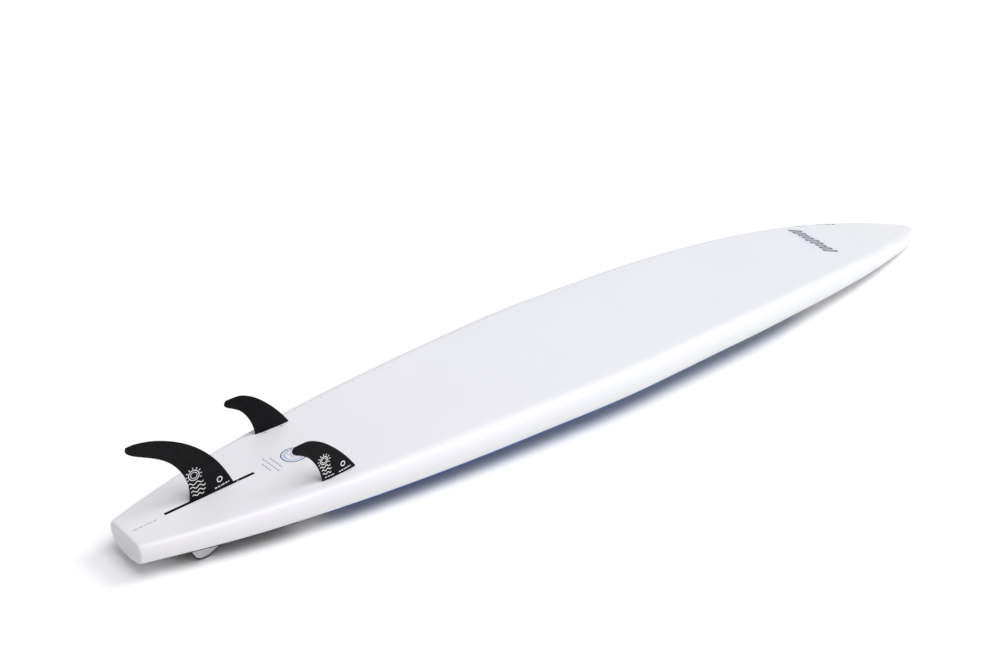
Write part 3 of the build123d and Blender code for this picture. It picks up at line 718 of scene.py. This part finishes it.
# ------------------------------------------------------------------- marks
def trace(name, strokes, surface, mat, body, lift=0.14, sink=0.08):
    """Thin raised marks: each stroke is (points, width, closed) laid on a surface."""
    vs, faces = [], []
    for pts, width, closed in strokes:
        n = len(pts)
        base = len(vs)
        for i, (a, b) in enumerate(pts):
            p0 = pts[i - 1] if (i > 0 or closed) else pts[i]
            p1 = pts[(i + 1) % n] if (i < n - 1 or closed) else pts[i]
            t = Vector((p1[0] - p0[0], p1[1] - p0[1])).normalized()
            nx, ny = -t[1] * width / 2, t[0] * width / 2
            for sx, h in ((1, lift), (-1, lift), (-1, -sink), (1, -sink)):
                p, nn = surface(a + sx * nx, b + sx * ny)
                vs.append(tuple(p + nn * h))
        m = n if closed else n - 1
        for i in range(m):
            a, b = base + 4 * i, base + 4 * ((i + 1) % n)
            for k in range(4):
                faces.append((a + k, a + (k + 1) % 4, b + (k + 1) % 4, b + k))
        if not closed:
            faces.append((base, base + 1, base + 2, base + 3))
            e = base + 4 * (n - 1)
            faces.append((e + 3, e + 2, e + 1, e))
    ob = smooth_shade(mesh_object(name, vs, faces), 40)
    return dress(ob, mat, body)


def disc(name, r_out, r_in, cx, cy, surface, mat, body, lift=0.1, sink=0.08, n=72):
    vs, faces = [], []
    for k in range(n):
        a = 2 * math.pi * k / n
        for r, h in ((r_out, lift), (r_in, lift), (r_in, -sink), (r_out, -sink)):
            p, nn = surface(cx + r * math.cos(a), cy + r * math.sin(a))
            vs.append(tuple(p + nn * h))
    for k in range(n):
        a, b = 4 * k, 4 * ((k + 1) % n)
        for j in range(4):
            faces.append((a + j, a + (j + 1) % 4, b + (j + 1) % 4, b + j))
    ob = smooth_shade(mesh_object(name, vs, faces), 40)
    return dress(ob, mat, body)


def on_bottom(s, y):
    p = Vector((s - MID, y, bottom_z(s, y)))
    ds = Vector((4, 0, bottom_z(s + 2, y) - bottom_z(s - 2, y)))
    dy = Vector((0, 4, bottom_z(s, y + 2) - bottom_z(s, y - 2)))
    return p, ds.cross(dy).normalized()


def dashes(p0, p1, parts, width, gap=0.25):
    """A broken straight line, with parts pieces of uneven length."""
    p0, p1 = Vector(p0), Vector(p1)
    cuts, total = [], 0.0
    for k in range(parts):
        total += 1.0 + 0.45 * math.sin(2.1 * k + 0.6)
        cuts.append(total)
    out, start = [], 0.0
    for c in cuts:
        a, b = start / total, (start + (c - start) * (1 - gap)) / total
        m = max(int((p1 - p0).length * (b - a) / 12), 1)
        out.append(([tuple(p0.lerp(p1, a + (b - a) * k / m)) for k in range(m + 1)], width, False))
        start = c
    return out


# round mark on the centreline
disc("ring_outer", 36.5, 33.9, 496, 0, on_bottom, "mark_navy", "board")
disc("ring_inner", 25.2, 23.6, 496, 0, on_bottom, "mark_slate", "board")
disc("ring_tint", 33.9, 25.1, 496, 0, on_bottom, "mark_pale", "board", lift=0.08)
ticks = []
for k in range(20):
    a = 2 * math.pi * k / 20
    ticks.append(([(496 + 27.5 * math.cos(a), 27.5 * math.sin(a)), (496 + 31.5 * math.cos(a), 31.5 * math.sin(a))], 1.8, False))
wave = []
for q, amp in ((488, 3.5), (497, 3.5), (506, 3.5)):
    wave.append(([(q + amp * math.sin(k / 24 * 4 * math.pi), -16 + 32 * k / 24) for k in range(25)], 1.5, False))
trace("ring_ticks", ticks + wave, on_bottom, "mark_slate", "board", lift=0.18)
# three faint broken lines behind it
lines = dashes((409, 20), (409, -24), 5, 3.2) + dashes((424, 42), (424, -42), 8, 3.2) + dashes((440, 30), (440, -32), 6, 3.2)
trace("tail_lines", lines, on_bottom, "mark_grey", "board")
trace("tail_centre_dashes", dashes((20, -6), (88, -6), 5, 2.6, 0.2), on_bottom, "mark_grey", "board")
# slanted bars across the nose
A, B = Vector((3117, 163)), Vector((2990, -106))
across = (B - A) / (B - A).length
ahead = Vector((-across[1], across[0]))
if ahead[0] < 0:
    ahead = -ahead
bars, fills = [], []
count = 9
for k in range(count):
    c = A + across * ((B - A).length * (k + 0.5) / count)
    hgt = 21 + 4 * math.sin(1.7 * k + 0.5)
    wd = 15.0
    lean = across * 7
    q = [c + ahead * hgt + lean - across * wd / 2, c + ahead * hgt + lean + across * wd / 2,
         c - ahead * hgt - lean + across * wd / 2, c - ahead * hgt - lean - across * wd / 2]
    pts = []
    for i in range(4):
        a, b = q[i], q[(i + 1) % 4]
        m = 5 if (b - a).length > 25 else 2
        pts += [tuple(a.lerp(b, t / m)) for t in range(m)]
    bars.append((pts, 8.2, True))
trace("nose_bars", bars, on_bottom, "mark_navy", "board")
halo = []
for off in (-32, 32):
    halo += dashes(tuple(A + ahead * off)[:2], tuple(B + ahead * off)[:2], 4, 5.0, 0.12)
trace("nose_halo", halo, on_bottom, "mark_pale", "board")
trace("nose_subline", dashes((3057, 114), (2953, -55), 7, 7.0, 0.3), on_bottom, "mark_pale", "board")
trace("nose_side_bars", dashes((3181, 190), (3241, 174), 2, 12.5, 0.2) + dashes((3292, 168), (3401, 134), 3, 11.5, 0.22),
      on_bottom, "mark_navy", "board")


def fin_surface(node, pl, side):
    """Maps fin coordinates (along, up) to the fin's face on one side."""
    me = nodes[node].data
    tree = BVHTree.FromPolygons([v.co.copy() for v in me.vertices], [tuple(p.vertices) for p in me.polygons])
    yax = Vector((pl[0][1], pl[1][1], pl[2][1]))

    def surface(a, b):
        o = (pl @ Vector((a, 0, b))) / 1000
        hit, n, i, dist = tree.ray_cast(o + yax * side * 0.05, -yax * side)
        if hit is None:
            hit, n = o, yax * side
        if n.dot(yax * side) < 0:
            n = -n
        return hit * 1000, n
    return surface


def fin_art(prefix, node, pl, side, body, cx, cy, r, waves, icon, text, text2):
    surf = fin_surface(node, pl, side)
    strokes = [([(cx + r * math.cos(2 * math.pi * k / 48), cy + r * math.sin(2 * math.pi * k / 48)) for k in range(48)], 2.2, True),
               ([(cx + r * 0.62 * math.cos(2 * math.pi * k / 36), cy + r * 0.62 * math.sin(2 * math.pi * k / 36)) for k in range(36)], 1.8, True)]
    for k in range(9):
        a = math.radians(-30 + 240 * k / 8)
        strokes.append(([(cx + (r + 3.2) * math.cos(a), cy + (r + 3.2) * math.sin(a)),
                         (cx + (r + 8.0) * math.cos(a), cy + (r + 8.0) * math.sin(a))], 2.2, False))
    for x0, x1, h, amp in waves:
        strokes.append(([(x0 + (x1 - x0) * k / 30, h + amp * math.sin(k / 30 * 4 * math.pi)) for k in range(31)], 2.4, False))
    ix, iy, ir = icon
    strokes.append(([(ix + ir * math.cos(2 * math.pi * k / 36), iy + ir * math.sin(2 * math.pi * k / 36)) for k in range(36)], ir * 0.42, True))
    strokes += dashes(text[0], text[1], 6, 3.4, 0.3)
    if text2:
        strokes += dashes(text2[0], text2[1], 4, 2.6, 0.3)
    return trace(prefix, strokes, surf, "mark_white", body, lift=0.12, sink=0.05)


for tag, side in (("left", -1), ("right", 1)):
    fin_art("centre_fin_art_" + tag, "centre_fin", FIN_BOX, side, "centre_fin_unit", -37, 74, 14.5,
            [(-57, -14, 50, 3.2), (-52, -10, 38, 3.2), (-51, -12, 26, 3.2), (-49, -18, 15, 2.6)],
            (30, 31, 7.0), ((13, 10), (57, 13)), None)
    fin_art("side_fin_art_" + tag, "side_fin_" + tag, SIDE[tag], side, "side_fin_%s_unit" % tag, -44, 62, 11.5,
            [(-58, -26, 43, 2.8), (-53, -24, 32, 2.8), (-51, -26, 21, 2.6)],
            (13, 27, 6.5), ((-2, 8), (38, 10.5)), ((-46, 9), (-15, 9)))

# ------------------------------------------------------------------- stage
def floor_mat():
    m = bpy.data.materials.new("floor_pale")
    m.use_nodes = True
    nt = m.node_tree
    bs = nt.nodes["Principled BSDF"]
    bs.inputs["Roughness"].default_value = 0.9
    bs.inputs["Specular IOR Level"].default_value = 0.1
    n = nd(nt, "ShaderNodeTexNoise", Scale=0.6, Detail=2.0)
    r = nd(nt, "ShaderNodeMapRange")
    r.inputs["To Min"].default_value, r.inputs["To Max"].default_value = 0.955, 0.975
    nt.links.new(n.outputs["Fac"], r.inputs["Value"])
    c = nd(nt, "ShaderNodeCombineColor")
    for k in range(3):
        nt.links.new(r.outputs["Result"], c.inputs[k])
    nt.links.new(c.outputs["Color"], bs.inputs["Base Color"])
    return m


fl = mesh_object("floor", [(-40, -40, 0), (40, -40, 0), (40, 40, 0), (-40, 40, 0)], [(0, 1, 2, 3)], 1.0)
if fl.data.polygons[0].normal.z < 0:
    fl.data.flip_normals()
fl.data.materials.append(floor_mat())
fl.location.z = -0.0005

world = bpy.data.worlds.new("studio")
bpy.context.scene.world = world
world.use_nodes = True
wt = world.node_tree
bg = wt.nodes["Background"]
bg.inputs["Strength"].default_value = 1.0
tc = nd(wt, "ShaderNodeTexCoord")
dot = nd(wt, "ShaderNodeVectorMath", operation="DOT_PRODUCT")
bright = Vector((0.62, -0.42, 0.66)).normalized()
dot.inputs[1].default_value = bright
wt.links.new(tc.outputs["Generated"], dot.inputs[0])
ramp = nd(wt, "ShaderNodeValToRGB")
mr = nd(wt, "ShaderNodeMapRange")
mr.inputs["From Min"].default_value, mr.inputs["From Max"].default_value = -1.0, 1.0
wt.links.new(dot.outputs["Value"], mr.inputs["Value"])
wt.links.new(mr.outputs["Result"], ramp.inputs["Fac"])
el = ramp.color_ramp.elements
el[0].position, el[0].color = 0.15, (0.03, 0.03, 0.032, 1)
el[1].position, el[1].color = 0.95, (0.66, 0.665, 0.685, 1)
e = el.new(0.5)
e.color = (0.34, 0.345, 0.355, 1)
wt.links.new(ramp.outputs["Color"], bg.inputs["Color"])


def sun(name, direction, strength, angle, colour=(1, 1, 1)):
    d = bpy.data.lights.new(name, "SUN")
    d.energy, d.angle, d.color = strength, math.radians(angle), colour
    o = bpy.data.objects.new(name, d)
    bpy.context.scene.collection.objects.link(o)
    o.rotation_euler = Vector(direction).to_track_quat("-Z", "Y").to_euler()
    o.location = (0, 0, 3)
    return o


# the light comes from the right of the view and above, so the fins' shadows fall to the left
sun("key", (-0.62, 0.28, -0.73), 1.05, 26, (0.985, 0.985, 1.0))
sun("front", (-0.10, 0.88, -0.42), 0.16, 40, (1.0, 0.975, 0.935))
sun("top", (-0.04, 0.42, -0.90), 1.30, 34, (0.985, 0.985, 1.0))

cam = bpy.data.cameras.new("cam")
cam.lens, cam.sensor_width, cam.sensor_fit = 41.266, 36.0, "HORIZONTAL"
cam.clip_start, cam.clip_end = 0.05, 200
camera = bpy.data.objects.new("cam", cam)
bpy.context.scene.collection.objects.link(camera)
R, U, F = Vector((0.73132, -0.68169, 0.02163)), Vector((0.27461, 0.32333, 0.90556)), Vector((0.62431, 0.65631, -0.42366))
m = Matrix.Identity(4)
for i in range(3):
    m[i][0], m[i][1], m[i][2] = R[i], U[i], -F[i]
m[0][3], m[1][3], m[2][3] = -2.8535, -2.3230, 1.7622
camera.matrix_world = m
bpy.context.scene.camera = camera
bpy.context.scene.view_settings.view_transform = "Standard"
